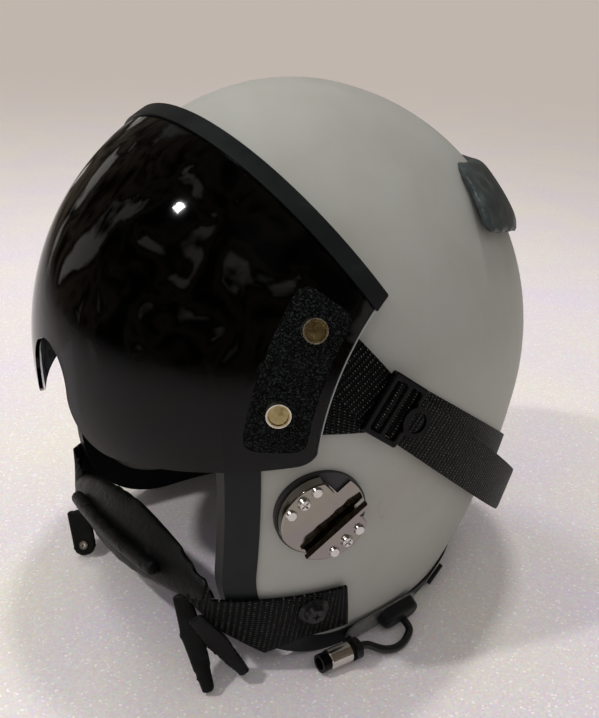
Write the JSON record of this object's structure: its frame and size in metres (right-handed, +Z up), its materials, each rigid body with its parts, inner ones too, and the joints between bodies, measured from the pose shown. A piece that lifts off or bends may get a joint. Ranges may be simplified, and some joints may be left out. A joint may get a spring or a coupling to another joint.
{
  "type": "pilot flight helmet",
  "caption": "Flight helmet with a raisable smoked visor, mask receivers, padded chin strap, ear cups and a short communication lead.",
  "frame": {"origin": "on the ground under the middle of the whole helmet's bounding box, the helmet standing on its edge roll", "axes": "+Z up, the face looks towards -Y, +X is the wearer's left side, which carries the communication lead"},
  "size_m": [0.2588, 0.2907, 0.2813],
  "materials": {
    "shell_paint": "matt light grey paint over a moulded shell",
    "edge_rubber": "smooth extruded rubber",
    "liner_foam": "black foam",
    "pad_fabric": "black knitted cover over foam",
    "black_webbing": "coarse woven webbing",
    "cup_plastic": "moulded black plastic",
    "seal_leather": "soft black leather with a low sheen",
    "backing_plastic": "matt black backing",
    "receiver_chrome": "mirror bright plating",
    "fastener_steel": "plain bright steel",
    "snap_nickel": "bright nickel plate",
    "washer_black": "black oxide",
    "bumper_leather": "black leather cover over foam",
    "smoked_lens": "polished smoked sheet",
    "trim_rubber": "smooth black rubber",
    "patch_fabric": "napped black loop fabric",
    "lock_plastic": "glossy black moulding",
    "barrel_nickel": "polished nickel plate",
    "cord_rubber": "glossy black jacket"
  },
  "bodies": {
    "helmet": {"shell": "shell_paint", "edge_roll": "edge_rubber", "energy_liner": "liner_foam", "front_pad": "pad_fabric", "crown_pad": "pad_fabric", "rear_pad": "pad_fabric", "nape_strap": "black_webbing", "nape_pad": "pad_fabric", "ear_cup_left": "cup_plastic", "ear_cup_right": "cup_plastic", "ear_seal_left": "seal_leather", "ear_seal_right": "seal_leather", "earphone_left": "cup_plastic", "earphone_right": "cup_plastic", "receiver_backing_left": "backing_plastic", "receiver_backing_right": "backing_plastic", "receiver_plate_left": "receiver_chrome", "receiver_plate_right": "receiver_chrome", "receiver_rivets": "fastener_steel", "receiver_screws": "fastener_steel", "receiver_nuts": "fastener_steel", "chin_washers": "washer_black", "chin_screws": "washer_black", "chin_nuts": "fastener_steel", "rear_bumper_pad": "bumper_leather", "rear_visor_strap": "black_webbing", "strap_tail_left": "black_webbing", "strap_tail_right": "black_webbing", "comm_plate": "fastener_steel", "comm_boot": "trim_rubber", "connector_neck": "trim_rubber", "connector_barrel": "barrel_nickel", "connector_insert": "lock_plastic", "connector_clip": "washer_black", "comm_cord": "cord_rubber", "rim_clip": "washer_black"},
    "visor": {"visor_lens": "smoked_lens", "visor_trim": "trim_rubber", "visor_patch_left": "patch_fabric", "visor_patch_right": "patch_fabric", "snap_caps": "snap_nickel", "snap_studs": "snap_nickel", "vee_strap_left": "black_webbing", "vee_strap_right": "black_webbing", "ladder_lock_left": "lock_plastic", "ladder_lock_right": "lock_plastic"},
    "chin_strap": {"chin_web_left": "black_webbing", "chin_web_right": "black_webbing", "chin_pad": "seal_leather", "chin_pad_roll": "seal_leather", "chin_eyelet_tab": "seal_leather", "chin_eyelet": "snap_nickel", "chin_tab_front": "seal_leather", "chin_tab_rear": "seal_leather"}
  },
  "joints": [
    {"name": "visor_raise", "type": "hinge", "parent": "helmet", "child": "visor", "pos_m": [0, -0.0065, 0.147], "axis": [-1, 0, 0], "range_deg": [0, 50], "deforming": ["rear_visor_strap", "strap_tail_left", "strap_tail_right"]},
    {"name": "chin_strap_swing", "type": "hinge", "parent": "helmet", "child": "chin_strap", "pos_m": [0, -0.056, 0.0402], "axis": [-1, 0, 0], "range_deg": [-30, 2], "deforming": ["chin_web_left", "chin_web_right"]}
  ]
}
